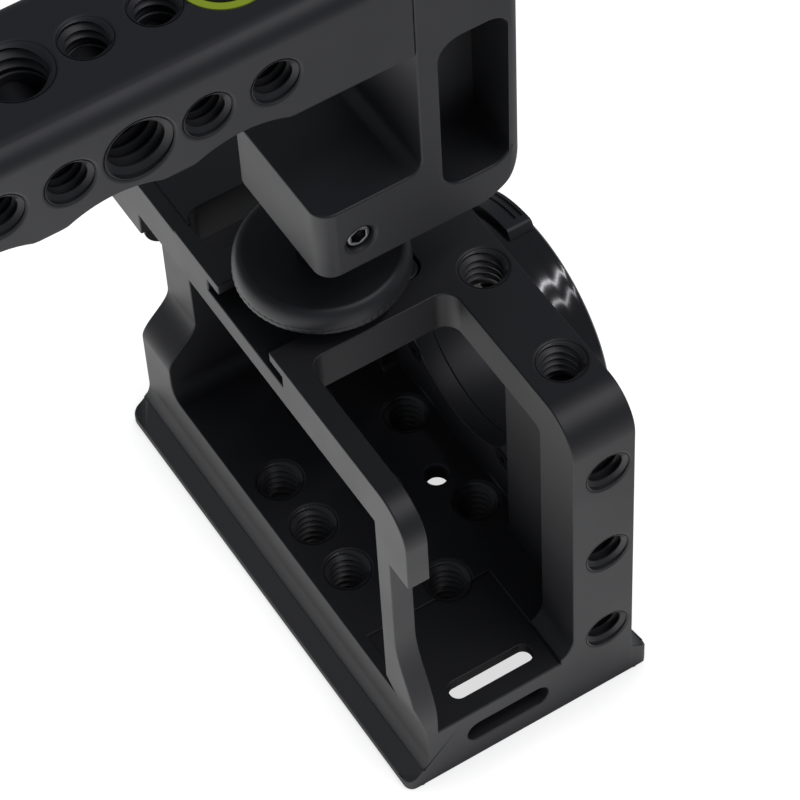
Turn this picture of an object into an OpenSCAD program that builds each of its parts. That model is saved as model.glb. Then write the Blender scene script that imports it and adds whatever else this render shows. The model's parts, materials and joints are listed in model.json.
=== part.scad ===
// Camera cage with a lens lock ring and a shoe-mounted top handle.
// Frame: X along the cage, +X the closed end. -Y the lens side. +Z up.
// Origin: mouth of the tripod thread, in the middle of the base's underside.

/* [Cage] */
// Length of the cage, end face to end face
cage_len = 75.4; // [68:0.1:92]
// Front wall to rear rail
cage_depth = 34.1; // [31:0.1:42]
// Table to the top of the top plate
cage_h = 60.9; // [56:0.1:74]
// Thickness of the base, table to floor
base_t = 11.4; // [10.4:0.1:14]
// Thickness of the top plate
top_t = 6.9; // [6.2:0.1:8.4]
// Depth of the two front columns and of the front rail
column_d = 9.5; // [9:0.1:11.5]
// Width of the end columns and of the closed end wall
column_w = 7.7; // [7.3:0.1:9.3]
// Thickness of the front wall behind the lens ring
front_wall_t = 3; // [2.4:0.1:3.6]
// Thickness of the rear rail and of the rear post
rail_t = 3.2; // [2.6:0.1:3.9]
// Height of the rear rail
rail_h = 7.7; // [7.2:0.1:9.2]
// Outer radius of the two top corners
corner_r = 6; // [4:0.5:7.2]
// Width of the dovetail at its foot
dovetail_w = 38.4; // [37.6:0.1:46]

/* [Threaded holes] */
// Radius of a 1/4-20 hole at its thread roots
quarter_r = 3.2; // [2.8:0.05:3.4]
// Radius of a 3/8-16 hole at its thread roots
three_eighth_r = 4.5; // [4:0.05:4.8]
// Spacing of the thread grid on the base
grid = 9; // [8:0.5:10]
// Distance of the base's outer rows from the middle
base_row_y = 10.4; // [9.8:0.1:11]
// Width of the chamfer on each thread's mouth
mouth = 0.3; // [0.1:0.05:0.4]

/* [Lens ring] */
// Offset of the lens axis and the shoe from the middle of the cage
axis_x = 1; // [-2:0.1:2]
// Height of the lens axis over the table
axis_z = 31; // [29:0.1:33]
// Radius of the lens opening
lens_r = 14; // [11.5:0.1:14.4]
// Wall of the fixed barrel round the opening
barrel_t = 1.4; // [1.2:0.1:1.7]
// Wall of the lock ring
ring_t = 2.1; // [2:0.1:2.6]
// Width of the lock ring along the lens axis
ring_w = 8.4; // [7.5:0.1:10]
// Height of a grip pad above the lock ring
pad_t = 1.4; // [1.1:0.1:1.7]
// Angle that one grip pad covers
pad_angle = 50; // [40:1:60]
// Travel of the lock ring between its stops
ring_travel = 60; // [40:1:75]

/* [Shoe and clamp] */
// Width between the lips of the shoe
shoe_open = 12.7; // [11:0.1:14]
// Width of the shoe's undercut
shoe_under = 18.7; // [17.5:0.1:20]
// Thickness of the lips
lip_t = 1.8; // [1.5:0.1:2.1]
// Height of the undercut
under_h = 2.1; // [1.9:0.1:2.4]
// Front end of the opening between the lips, from the middle
shoe_end_y = -6.6; // [-7:0.1:-4]
// Distance of the clamp stud behind the middle
stud_y = 5; // [3:0.1:6.5]
// Radius of the clamp stud
stud_r = 3.17; // [2.8:0.01:3.4]
// Radius of the clamp disc
disc_r = 11.6; // [9.4:0.1:13.9]
// Thickness of the clamp disc's rim
disc_t = 3.7; // [3:0.1:4.6]
// Height of the hub that carries the disc over the shoe
hub_h = 3; // [2.5:0.1:3.8]
// Number of teeth in the disc's knurl
knurl_teeth = 72; // [48:2:90]

/* [Handle] */
// Width of the bracket and the grip beam
handle_w = 21.8; // [20:0.1:26]
// Gap between the clamp disc and the bracket
foot_gap = 7.2; // [6:0.1:9]
// Height of the bracket's foot
foot_h = 11.9; // [10.5:0.1:14]
// Bracket's front face, in front of the stud
bracket_front = 23.5; // [22:0.1:28]
// Bracket's rear face, behind the stud
bracket_rear = 5.7; // [5:0.1:7]
// Thickness of the upright
upright_t = 14.4; // [12.5:0.1:17]
// Bracket's underside to the top of the grip
handle_h = 48.8; // [44:0.1:58]
// Length of the grip beam
beam_len = 88; // [84:0.5:105]
// Height of the grip beam
beam_h = 17; // [16.4:0.1:20]
// Number of holes along the grip
beam_holes = 8; // [6:1:8]
// First hole, behind the beam's front end
first_hole = 18.6; // [18:0.1:19.5]

/* [Hidden] */

$fn = 64;
cut = 1;            // how far a cut runs past a face
run = 0.05;         // radial clearance of a part that turns
seat = 0.05;        // radial clearance of a screw in its thread
black = "#232326";

half_l = cage_len / 2;
front_y = -cage_depth / 2;
rear_y = cage_depth / 2;
inner_l = half_l - column_w;
column_y = front_y + column_d;
rail_y = rear_y - rail_t;
top_z = cage_h - top_t;
rail_z = cage_h - rail_h;
lower_rear_y = rear_y - 1.45;       // rear face of the base, a little inside the rail
relief_y = lower_rear_y - 4.9;      // rear face of the closed end wall, above its wave
foot_front_y = -dovetail_w / 2 - 0.2;
foot_rear_y = dovetail_w / 2 - 0.2;
foot_corner_r = 2.7;
front_rim = 3.4;                    // height of the foot's upright rim in front
rear_rim = 1.1;

column_hole_y = front_y + 4.1;      // row of threads along the front rail and the columns
column_hole_z = base_t + 1.8;       // lowest thread of each column
end_screw_y = 9;
end_screw_z = 38.2;
end_screw_r = 2;
pin_hole = [-2.3, -8.2];            // plain hole in the floor, for a pin of the camera
pin_hole_r = 1.6;
pin_recess_r = 5;
pin_web = 3.1;                      // floor left over the recess

lens_wall_y = front_y + front_wall_t;
lens_recess = lens_r + 2.5;         // half width of the deeper recess round the lens
recess_y = front_y + 5.5;           // inner face of the front wall beside it

barrel_r = lens_r + barrel_t;
ring_in = barrel_r + run;
ring_r = barrel_r + ring_t;
flange_t = 2.2;
ring_back_y = front_y - flange_t - 0.1;
ring_front_y = ring_back_y - ring_w;
retainer_t = 1.2;
washer_t = 0.3;
shoulder_y = ring_front_y + retainer_t + washer_t + 0.2;   // seat of the wave washer
retainer_in = lens_r + barrel_t * 0.7;
retainer_out = ring_r - 0.85;
screw_pcd_r = lens_r + 2.1;
pin_r = 0.5;
pin_track_r = (barrel_r + ring_r) / 2;

undercut_top_z = cage_h - lip_t;
shoe_floor_z = undercut_top_z - under_h;
undercut_over = (shoe_under - shoe_open) / 2;
shoe_corner_r = 2.2;
plate_clear = 0.15;
plate_t = under_h - 0.2;
plate_l = 2 * (stud_y - shoe_end_y - plate_clear);
hub_r = 7.2;
knurl_d = 0.25;                     // depth of a tooth
knurl_h = 1.3;
disc_z = cage_h + hub_h;
disc_top_z = disc_z + disc_t;
collar_r = 5.2;
collar_z = disc_top_z + 3.2;        // top of the collar that steadies the disc on the stud
foot_z = disc_top_z + foot_gap;
foot_top_z = foot_z + foot_h;
handle_top_z = foot_z + handle_h;
beam_z = handle_top_z - beam_h;
bracket_front_y = stud_y - bracket_front;
bracket_rear_y = stud_y + bracket_rear;
upright_y = bracket_front_y + upright_t;
beam_end_y = upright_y + beam_len;
handle_x0 = axis_x - handle_w / 2;
handle_x1 = axis_x + handle_w / 2;
hole_z = beam_z + beam_h * 0.48;
hole_y0 = upright_y + first_hole;
top_thread_depth = 4.2;
stud_depth = 9;                     // how far the stud enters the bracket
bolt_r = 1.95;
bolt_head_r = 3.4;
bolt_z = [handle_top_z - 5, handle_top_z - 14];
bolt_reach = 11;
pin_x = 6.8;
beam_pin_r = 1.5;
beam_pin_z = (bolt_z[0] + bolt_z[1]) / 2;
set_z = foot_z + foot_h * 0.42;
set_r = 1.9;
level_r = 5.8;
level_h = 4;

// Extrudes an X-Z outline along Y, from y0 to y1
module along_y(y0, y1) {
    translate([0, y1, 0]) rotate([90, 0, 0]) linear_extrude(y1 - y0) children();
}

// Extrudes a Y-Z outline along X, from x0 to x1
module along_x(x0, x1) {
    translate([x0, 0, 0]) rotate([90, 0, 90]) linear_extrude(x1 - x0) children();
}

// Rectangle between two corners
module rect(x0, y0, x1, y1) {
    translate([x0, y0]) square([x1 - x0, y1 - y0]);
}

// Rectangle between two corners, all four rounded
module round_rect(x0, y0, x1, y1, r) {
    rect(x0 + r, y0, x1 - r, y1);
    rect(x0, y0 + r, x1, y1 - r);
    for (x = [x0 + r, x1 - r], y = [y0 + r, y1 - r]) translate([x, y]) circle(r);
}

// Piece that fills a square inside corner at the origin, towards +X +Y
module cove(r) {
    difference() {
        square(r);
        translate([r, r]) circle(r);
    }
}

// Threaded hole along Z with a chamfered mouth at the top
module hole(r, depth) {
    translate([0, 0, -depth]) cylinder(r = r, h = depth + cut);
    translate([0, 0, -mouth]) cylinder(r1 = r, r2 = r + mouth + cut, h = mouth + cut);
}

// The same hole, drilled from a face towards -X, +X, -Y or +Y
module hole_along(direction, r, depth) {
    turn = direction == "+x" ? [0, -90, 0] : direction == "-x" ? [0, 90, 0]
         : direction == "+y" ? [90, 0, 0] : [-90, 0, 0];
    rotate(turn) hole(r, depth);
}

// Points of an S-shaped edge from one point to another, upright at both ends
function s_points(x0, z0, x1, z1, n = 16) =
    [for (i = [0:n]) [x0 + (x1 - x0) * (1 - cos(180 * i / n)) / 2, z0 + (z1 - z0) * i / n]];

// Outline of the cage seen from the front, with its two rounded top corners
module cage_outline(z0) {
    rect(-half_l, z0, half_l, cage_h - corner_r);
    rect(-half_l + corner_r, z0, half_l - corner_r, cage_h);
    for (s = [-1, 1]) translate([s * (half_l - corner_r), cage_h - corner_r]) circle(corner_r);
}

// Section of the base with its dovetail foot, seen from the end
module base_section() {
    rear_slope_z = rear_rim + foot_rear_y - lower_rear_y;
    front_slope_z = front_rim + front_y - foot_front_y;
    cove_r = 4;
    t = cove_r * tan(22.5);
    polygon([[foot_front_y, 0], [foot_rear_y, 0], [foot_rear_y, rear_rim],
        [lower_rear_y, rear_slope_z], [lower_rear_y, base_t], [front_y, base_t],
        [front_y, front_slope_z], [foot_front_y, front_rim]]);
    difference() {
        polygon([[lower_rear_y, rear_slope_z],
            [lower_rear_y + t * cos(45), rear_slope_z - t * sin(45)],
            [lower_rear_y + cove_r, rear_slope_z + t], [lower_rear_y, rear_slope_z + t]]);
        translate([lower_rear_y + cove_r, rear_slope_z + t]) circle(cove_r);
    }
}

module base() {
    intersection() {
        along_x(-half_l, half_l) base_section();
        linear_extrude(base_t) round_rect(-half_l, foot_front_y, half_l, foot_rear_y,
            foot_corner_r);
    }
}

// Front rail and the two front columns, one slab with the recess for the camera
module front_frame() {
    difference() {
        along_y(front_y, column_y) cage_outline(base_t - cut);
        along_y(recess_y, column_y + cut) round_rect(-inner_l, base_t, inner_l, top_z, 1);
        along_y(lens_wall_y, column_y + cut)
            round_rect(axis_x - lens_recess, base_t, axis_x + lens_recess, top_z, 1);
    }
    // cove where the open end's column meets the floor
    along_x(-half_l, -inner_l) translate([column_y, base_t]) cove(3.5);
}

module top_plate() {
    along_y(front_y, rear_y) intersection() {
        cage_outline(0);
        rect(-half_l, top_z, half_l, cage_h);
    }
    along_y(rail_y, rear_y) intersection() {
        cage_outline(0);
        rect(-half_l, rail_z, half_l, cage_h);
    }
}

// Rear post of the open end: a thin bar with a hooked head and a flared foot
module rear_post() {
    waist_x = -half_l + 4.5;
    hook_z = cage_h - 13.7;
    flare_top_z = base_t + 18.2;
    flare_z = base_t + 2.5;
    bevel_z = base_t + 6.6;
    intersection() {
        along_y(rail_y, rear_y) intersection() {
            union() {
                rect(-half_l, hook_z, -inner_l, cage_h);
                rect(waist_x, flare_z, -inner_l, cage_h);
                polygon(concat([[-inner_l, flare_top_z], [-inner_l, base_t - cut],
                    [-half_l, base_t - cut]], s_points(-half_l, flare_z, waist_x, flare_top_z)));
            }
            cage_outline(0);
        }
        along_x(-half_l, half_l) {
            rect(rail_y, base_t - cut, lower_rear_y, cage_h);
            polygon([[lower_rear_y - cut, base_t], [lower_rear_y, base_t], [rear_y, bevel_z],
                [rear_y, cage_h], [lower_rear_y - cut, cage_h]]);
        }
    }
}

// Wall of the closed end, its rear edge set back above a wave
module end_wall() {
    wave_z0 = base_t + 5.4;
    wave_z1 = base_t + 13.1;
    intersection() {
        along_x(inner_l, half_l) {
            rect(column_y - cut, base_t - cut, relief_y, cage_h);
            polygon(concat([[column_y, wave_z1], [column_y, base_t - cut],
                [lower_rear_y, base_t - cut]],
                s_points(lower_rear_y, wave_z0, relief_y, wave_z1)));
        }
        along_y(front_y, rear_y) cage_outline(0);
    }
    // deeper end of the rail, over the wall
    along_y(rail_y, rear_y) intersection() {
        cage_outline(0);
        rect(inner_l - 0.7, cage_h - 11.8, half_l, cage_h);
    }
    // cove along the floor
    along_y(column_y, lower_rear_y) translate([inner_l, base_t]) mirror([1, 0]) cove(2.5);
}

// T-slot for the shoe, open to the rear
module shoe_slot() {
    half_open = shoe_open / 2;
    half_under = shoe_under / 2;
    translate([0, 0, undercut_top_z - cut / 2]) linear_extrude(lip_t + cut)
        round_rect(axis_x - half_open, shoe_end_y, axis_x + half_open, rear_y + 10,
            shoe_corner_r);
    translate([0, 0, shoe_floor_z]) linear_extrude(under_h)
        round_rect(axis_x - half_under, shoe_end_y - undercut_over, axis_x + half_under,
            rear_y + 10, shoe_corner_r);
}

// Windows in the top plate: one open to the end, one beside the shoe
module top_windows() {
    wall_x = axis_x - shoe_under / 2 - 1.05;
    pocket_x0 = axis_x + shoe_under / 2 + 1.95;
    pocket_x1 = pocket_x0 + 8;
    pocket_y1 = rail_y + 1;
    translate([0, 0, top_z - cut]) linear_extrude(top_t + 2 * cut) {
        round_rect(-half_l - 10, column_y, wall_x, rail_y, 2.4);
        round_rect(pocket_x0, column_y, pocket_x1, pocket_y1, 2.4);
    }
}

// Slot for a strap: through the end face, the pocket under the floor and the floor
module strap_slots() {
    pocket_x0 = -half_l + 1.8;
    pocket_x1 = pocket_x0 + 12.4;
    pocket_z = base_t - 2.4;
    slot_y0 = -3.5;
    slot_y1 = slot_y0 + 12.9;
    translate([0, 0, -cut]) linear_extrude(pocket_z + cut)
        round_rect(pocket_x0, slot_y0 - 5, pocket_x1, slot_y1 + 1.8, 2);
    translate([0, 0, pocket_z - cut]) linear_extrude(base_t)
        round_rect(-half_l + 2.9, slot_y0, -half_l + 5.7, slot_y1, 1.3);
    along_x(-half_l - cut, pocket_x0 + cut) round_rect(slot_y0, 3.9, slot_y1, 7.8, 1.9);
}

// Shallow step in the floor at the open end
module floor_step() {
    step_l = 17.9;
    step_y = column_y + 2;
    step_d = 0.5;
    translate([-half_l - cut, step_y, base_t - step_d])
        cube([step_l + cut, rail_y - step_y, step_d + cut]);
}

// Fine step along the top of the rail, beside the window
module rail_step() {
    step_x = axis_x + 17.6;
    step_w = 2.1;
    step_d = 0.3;
    translate([step_x, rear_y - step_w, cage_h - step_d])
        cube([half_l, step_w + cut, step_d + cut]);
}

module base_threads() {
    for (x = [-grid, 0, grid]) translate([x, base_row_y, base_t]) hole(quarter_r, base_t + cut);
    for (x = [-grid, grid]) translate([x, -base_row_y, base_t]) hole(quarter_r, base_t + cut);
    for (x = [-2 * grid, 0, 2 * grid]) translate([x, 0, base_t]) hole(quarter_r, base_t + cut);
}

// Plain hole in the floor over a round recess, for a captive pin
module pin_place() {
    translate([pin_hole[0], pin_hole[1], base_t]) hole(pin_hole_r, base_t + cut);
    translate([0, -base_row_y, -cut]) cylinder(r = pin_recess_r, h = base_t - pin_web + cut);
}

module top_threads() {
    for (i = [-3, -1, 1, 3])
        translate([i * grid, column_hole_y, cage_h]) hole(quarter_r, top_t + cut / 2);
}

module end_threads() {
    for (s = [-1, 1], i = [0:2])
        translate([s * half_l, column_hole_y, column_hole_z + i * 2 * grid])
            hole_along(s < 0 ? "+x" : "-x", quarter_r, column_w);
}

module lens_port() {
    along_y(front_y - cut, lens_wall_y + cut) translate([axis_x, axis_z]) circle(lens_r);
    for (a = [45:90:315])
        translate([axis_x + screw_pcd_r * cos(a), 0, axis_z + screw_pcd_r * sin(a)]) {
            translate([0, lens_wall_y, 0]) rotate([90, 0, 0])
                cylinder(r = 1.05, h = front_wall_t + cut);
            translate([0, lens_wall_y + cut, 0]) rotate([90, 0, 0])
                cylinder(r1 = 1.9 + cut, r2 = 1.05, h = 0.85 + cut);
        }
}

module cage_frame() {
    color(black) difference() {
        union() {
            base();
            front_frame();
            top_plate();
            rear_post();
            end_wall();
        }
        shoe_slot();
        top_windows();
        strap_slots();
        floor_step();
        base_threads();
        pin_place();
        top_threads();
        end_threads();
        lens_port();
        translate([half_l, end_screw_y, end_screw_z])
            hole_along("-x", end_screw_r + seat, column_w - 1.2);
        rail_step();
    }
}

// Button-head screw in the closed end
module end_screw() {
    color("#1c1c1e") translate([half_l, end_screw_y, end_screw_z]) rotate([0, 90, 0])
        difference() {
            union() {
                translate([0, 0, -(column_w - 2)]) cylinder(r = end_screw_r, h = column_w - 2);
                intersection() {
                    cylinder(r = 3.9, h = 2.1);
                    translate([0, 0, -3.4]) sphere(r = 5.5);
                }
            }
            translate([0, 0, 0.8]) cylinder(r = 1.4, h = 3, $fn = 6);
        }
}

// Body of revolution about the lens axis: outline points are [radius, distance before the wall]
module about_lens() {
    translate([axis_x, 0, axis_z]) rotate([90, 0, 0]) children();
}

module lens_flange() {
    color(black) about_lens() difference() {
        rotate_extrude() {
            rect(lens_r, -front_y, ring_r - 0.1, -front_y + flange_t);
            rect(lens_r, -front_y, barrel_r, -shoulder_y + washer_t);
            rect(lens_r, -front_y, retainer_in, -ring_front_y - 0.2);
        }
        // filter thread relief inside the mouth
        translate([0, 0, -ring_front_y - 2.4]) cylinder(r = lens_r + 0.45, h = 5);
        for (a = [45:90:315]) rotate(a)
            translate([screw_pcd_r, 0, -front_y - cut]) cylinder(r = 1, h = flange_t);
        rotate(-90) translate([pin_track_r, 0, -front_y + 0.6]) cylinder(r = pin_r, h = 5);
    }
}

// Four countersunk screws, put in from inside the cage
module flange_screws() {
    color("#2a2a2d") about_lens() for (a = [45:90:315]) rotate(a)
        translate([screw_pcd_r, 0, -lens_wall_y]) difference() {
            union() {
                cylinder(r = 0.95, h = front_wall_t + flange_t - 1.3);
                cylinder(r1 = 1.75, r2 = 0.95, h = 0.8);
            }
            translate([0, 0, -cut]) cylinder(r = 0.55, h = cut + 0.5, $fn = 6);
        }
}

// Pin that stands in the lock ring's track and stops it
module stop_pin() {
    color("#b9bbbe") about_lens() rotate(-90)
        translate([pin_track_r, 0, -front_y + 0.6]) cylinder(r = pin_r, h = flange_t + 0.5);
}

module wave_washer() {
    color("#a8aaad") about_lens() rotate_extrude()
        rect(barrel_r + 0.1, -shoulder_y, retainer_out, -shoulder_y + washer_t);
}

module retaining_ring() {
    color("#1a1a1c") about_lens() difference() {
        rotate_extrude()
            rect(retainer_in, -shoulder_y + washer_t, retainer_out, -ring_front_y - 0.2);
        for (a = [0, 180]) rotate(a)
            translate([(retainer_in + retainer_out) / 2, 0, -ring_front_y - 0.8])
                cylinder(r = 0.45, h = 2);
    }
}

// Section of the lock ring, with three shallow waves along its rim
module lock_ring_section() {
    wave_w = 0.15 * ring_w;         // half of a wave's width
    wave_d = 0.06;
    wave_r = (wave_w * wave_w + wave_d * wave_d) / (2 * wave_d);
    difference() {
        rect(ring_in, -ring_back_y, ring_r, -ring_front_y);
        rect(0, -shoulder_y, retainer_out + 0.1, -ring_front_y + cut);
        for (f = [0.14, 0.45, 0.76]) translate([ring_r + wave_r - wave_d, -ring_back_y + f * ring_w])
            circle(wave_r, $fn = 512);
        translate([ring_r, -ring_front_y]) rotate(45) square(0.7, center = true);
    }
}

module pad_section() {
    groove_r = 0.3;
    y0 = -ring_back_y + 0.49 * ring_w;
    y1 = -ring_front_y - 0.4;
    difference() {
        rect(ring_r - 0.5, y0, ring_r + pad_t, y1);
        for (f = [0.53, 0.79]) translate([ring_r + pad_t, y0 + f * (y1 - y0)])
            circle(groove_r, $fn = 32);
        translate([ring_r + pad_t, y1]) rotate(45) square(0.4, center = true);
    }
}

module lock_ring() {
    track_r = pin_r + 0.15;
    pad_start = 90 - pad_angle / 2 - 26;
    color("#0c0c0e") about_lens() difference() {
        union() {
            rotate_extrude($fn = 128) lock_ring_section();
            for (a = [0, 180]) rotate(a + pad_start) rotate_extrude(angle = pad_angle, $fn = 128)
                pad_section();
        }
        // curved track for the stop pin, as long as the ring's travel
        rotate(-90 - ring_travel) rotate_extrude(angle = ring_travel)
            rect(pin_track_r - track_r, 0, pin_track_r + track_r, -ring_back_y + 1.2);
        for (a = [-90 - ring_travel, -90]) rotate(a) translate([pin_track_r, 0, 0])
            cylinder(r = track_r, h = -ring_back_y + 1.2);
    }
}

module stud_place() {
    translate([axis_x, stud_y, 0]) children();
}

// Foot that slides in the shoe: a plate under the lips with a land between them
module shoe_plate() {
    half_w = shoe_under / 2 - plate_clear;
    land_w = shoe_open / 2 - plate_clear;
    color("#2b2b2e") stud_place() difference() {
        union() {
            translate([0, 0, undercut_top_z - plate_t]) linear_extrude(plate_t)
                round_rect(-half_w, -plate_l / 2, half_w, plate_l / 2, shoe_corner_r);
            translate([0, 0, undercut_top_z - plate_t]) linear_extrude(plate_t + lip_t - 0.2)
                round_rect(-land_w, -plate_l / 2, land_w, plate_l / 2, shoe_corner_r);
        }
        translate([0, 0, undercut_top_z - plate_t - cut]) cylinder(r = stud_r, h = 10);
    }
}

module clamp_stud() {
    color("#8d8f93") stud_place()
        translate([0, 0, undercut_top_z - plate_t])
            cylinder(r = stud_r, h = foot_z + stud_depth - 0.5 - undercut_top_z + plate_t);
}

// Outline of the knurl: straight teeth round the lower edge of the rim
module knurl_outline() {
    root = disc_r - 1.2 * knurl_d;
    polygon([for (i = [0:2 * knurl_teeth - 1])
        let (r = i % 2 == 0 ? disc_r : root, a = i * 180 / knurl_teeth) [r * cos(a), r * sin(a)]]);
}

// Rim of the disc with its knurl, and the shallow dish in its top
module disc_rim() {
    rim_round = 1.2;
    dish_d = 1;
    bevel = 0.3;
    core_r = disc_r - knurl_d;
    dish_w = core_r - rim_round;
    dish_r = (dish_w * dish_w + dish_d * dish_d) / (2 * dish_d);
    difference() {
        union() {
            translate([0, 0, disc_z + bevel / 2]) linear_extrude(knurl_h) knurl_outline();
            rotate_extrude() {
                polygon([[0, disc_z], [core_r - bevel, disc_z], [core_r, disc_z + bevel],
                    [core_r, disc_top_z - rim_round], [dish_w, disc_top_z], [0, disc_top_z]]);
                translate([dish_w, disc_top_z - rim_round]) circle(rim_round);
            }
        }
        translate([0, 0, disc_top_z - dish_d + dish_r]) sphere(r = dish_r, $fn = 256);
    }
}

module clamp_disc() {
    bevel = 0.4;
    color("#262629") stud_place() difference() {
        union() {
            disc_rim();
            translate([0, 0, cage_h]) cylinder(r = hub_r, h = hub_h + cut);
            translate([0, 0, disc_z + cut])
                cylinder(r = collar_r, h = collar_z - bevel - disc_z - cut);
            translate([0, 0, collar_z - bevel])
                cylinder(r1 = collar_r, r2 = collar_r - bevel, h = bevel);
        }
        translate([0, 0, cage_h - cut]) cylinder(r = stud_r + run, h = collar_z - cage_h + 2 * cut);
    }
}

// Side view of the bracket: foot, upright and the rounded front corner
module bracket_section() {
    nose_r = 7;
    inner_r = 2;
    difference() {
        union() {
            rect(bracket_front_y, foot_z, bracket_rear_y, foot_top_z);
            rect(bracket_front_y, foot_z, upright_y, handle_top_z);
            translate([upright_y, foot_top_z]) cove(inner_r);
        }
        difference() {
            rect(bracket_front_y - cut, foot_z - cut, bracket_front_y + nose_r, foot_z + nose_r);
            translate([bracket_front_y + nose_r, foot_z + nose_r]) circle(nose_r);
        }
        difference() {
            rect(bracket_front_y - cut, handle_top_z - 2, bracket_front_y + 2, handle_top_z + cut);
            translate([bracket_front_y + 2, handle_top_z - 2]) circle(2);
        }
    }
}

// Outline of the pocket in each side of the upright
module bracket_pocket() {
    wall = 2.2;
    round_rect(bracket_front_y + wall, foot_z + 6.2, upright_y - wall - 0.7,
        handle_top_z - 16.2, 3);
}

module handle_bracket() {
    web = 4;
    corner = 2.6;
    color("#2c2c2f") difference() {
        intersection() {
            along_x(handle_x0, handle_x1) bracket_section();
            translate([0, 0, foot_z]) linear_extrude(handle_h)
                round_rect(handle_x0, bracket_front_y, handle_x1, bracket_rear_y, corner);
        }
        along_x(handle_x0 - cut, axis_x - web / 2) bracket_pocket();
        along_x(axis_x + web / 2, handle_x1 + cut) bracket_pocket();
        stud_place() translate([0, 0, foot_z - cut])
            cylinder(r = stud_r + run, h = stud_depth + cut);
        translate([handle_x0, stud_y, set_z])
            hole_along("+x", set_r + seat, axis_x - handle_x0 - stud_r / 2);
        for (z = bolt_z) translate([axis_x, 0, z]) {
            translate([0, upright_y + cut, 0]) rotate([90, 0, 0])
                cylinder(r = bolt_r + 0.2, h = upright_t + 2 * cut);
            translate([0, bracket_front_y + 4.4, 0]) rotate([90, 0, 0])
                cylinder(r = bolt_head_r + 0.2, h = 10);
        }
        for (s = [-1, 1]) translate([axis_x + s * pin_x, upright_y + cut, beam_pin_z])
            rotate([90, 0, 0]) cylinder(r = beam_pin_r, h = 5 + cut);
    }
}

// Cup-point screw that locks the bracket on the stud
module set_screw() {
    tip = axis_x - stud_r - run;
    screw_l = tip - handle_x0 - 0.6;
    color("#d0d2d5") translate([tip - screw_l, stud_y, set_z]) rotate([0, 90, 0]) difference() {
        cylinder(r = set_r, h = screw_l);
        translate([0, 0, -cut]) cylinder(r = 1.15, h = cut + 1.8, $fn = 6);
        difference() {
            translate([0, 0, -cut]) cylinder(r = set_r + cut, h = cut + 0.4);
            translate([0, 0, -cut]) cylinder(r1 = set_r - 0.4 - cut, r2 = set_r, h = cut + 0.4);
        }
    }
}

// Cross-section of the grip beam: rounded along the top, bevelled along the bottom
module beam_section() {
    edge_r = 3.2;
    bevel = 1.2;
    polygon([[handle_x0 + bevel, beam_z], [handle_x1 - bevel, beam_z],
        [handle_x1, beam_z + bevel], [handle_x1, handle_top_z - edge_r],
        [handle_x1 - edge_r, handle_top_z], [handle_x0 + edge_r, handle_top_z],
        [handle_x0, handle_top_z - edge_r], [handle_x0, beam_z + bevel]]);
    for (x = [handle_x0 + edge_r, handle_x1 - edge_r]) translate([x, handle_top_z - edge_r])
        circle(edge_r);
}

// Side view of the grip beam: round rear end and four finger scallops
module beam_profile() {
    end_r = 6;
    scallop_r = 14;
    scallop_d = 2.6;
    pitch = 17;
    difference() {
        union() {
            rect(upright_y, beam_z, beam_end_y - end_r, handle_top_z);
            rect(upright_y, beam_z + end_r, beam_end_y, handle_top_z - end_r);
            for (z = [beam_z + end_r, handle_top_z - end_r]) translate([beam_end_y - end_r, z])
                circle(end_r);
        }
        for (i = [0:3]) translate([upright_y + 23.5 + i * pitch, beam_z + scallop_d - scallop_r])
            circle(scallop_r);
    }
}

// Threaded hole in the top of the grip, its core drilled on into the side hole below
module top_hole(r) {
    hole(r, top_thread_depth);
    translate([0, 0, hole_z - handle_top_z]) cylinder(r = 0.8 * r, h = handle_top_z - hole_z);
}

function side_hole_r(i) = i % 3 == 2 ? three_eighth_r : quarter_r;
function top_hole_r(i) = i % 3 == 0 ? three_eighth_r : quarter_r;

module grip_beam() {
    color("#29292c") difference() {
        intersection() {
            along_x(handle_x0, handle_x1) beam_profile();
            along_y(upright_y, beam_end_y) beam_section();
        }
        for (i = [0:beam_holes - 1]) {
            y = hole_y0 + i * grid;
            translate([handle_x0, y, hole_z]) hole_along("+x", side_hole_r(i), handle_w + cut);
            translate([handle_x1, y, hole_z]) hole_along("-x", side_hole_r(i), cut);
            if (i > 0) translate([axis_x, y, handle_top_z]) top_hole(top_hole_r(i));
        }
        level_place() cylinder(r = level_r + seat, h = level_h + cut);
        for (z = bolt_z) translate([axis_x, upright_y - cut, z]) rotate([-90, 0, 0])
            cylinder(r = bolt_r + seat, h = bolt_reach + cut);
        for (s = [-1, 1]) translate([axis_x + s * pin_x, upright_y - cut, beam_pin_z])
            rotate([-90, 0, 0]) cylinder(r = beam_pin_r, h = 4.5 + cut);
    }
}

// Two socket-head bolts through the upright into the beam
module beam_bolts() {
    head_h = 3.9;
    head_y = bracket_front_y + 4.4;
    color("#232325") for (z = bolt_z) translate([axis_x, head_y, z]) rotate([-90, 0, 0])
        difference() {
            union() {
                cylinder(r = bolt_r, h = upright_t - 4.4 + bolt_reach - 0.6);
                translate([0, 0, -head_h]) cylinder(r = bolt_head_r, h = head_h);
            }
            translate([0, 0, -head_h - cut]) cylinder(r = 1.7, h = 2.2 + cut, $fn = 6);
        }
}

module beam_pins() {
    color("#a9abae") for (s = [-1, 1])
        translate([axis_x + s * pin_x, upright_y - 4.8, beam_pin_z]) rotate([-90, 0, 0])
            cylinder(r = beam_pin_r, h = 9);
}

module level_place() {
    translate([axis_x, hole_y0, handle_top_z - level_h]) children();
}

module level_vial() {
    color("#9fb51f") level_place() difference() {
        cylinder(r = level_r, h = level_h);
        translate([0, 0, 1]) cylinder(r = level_r - 1, h = level_h);
    }
}

module level_fluid() {
    color("#c3dc2c") level_place() difference() {
        translate([0, 0, 1]) cylinder(r = level_r - 1, h = level_h - 2);
        translate([1.2, 0.8, level_h - 1.5]) cylinder(r = 1.4, h = 1);
    }
}

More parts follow.
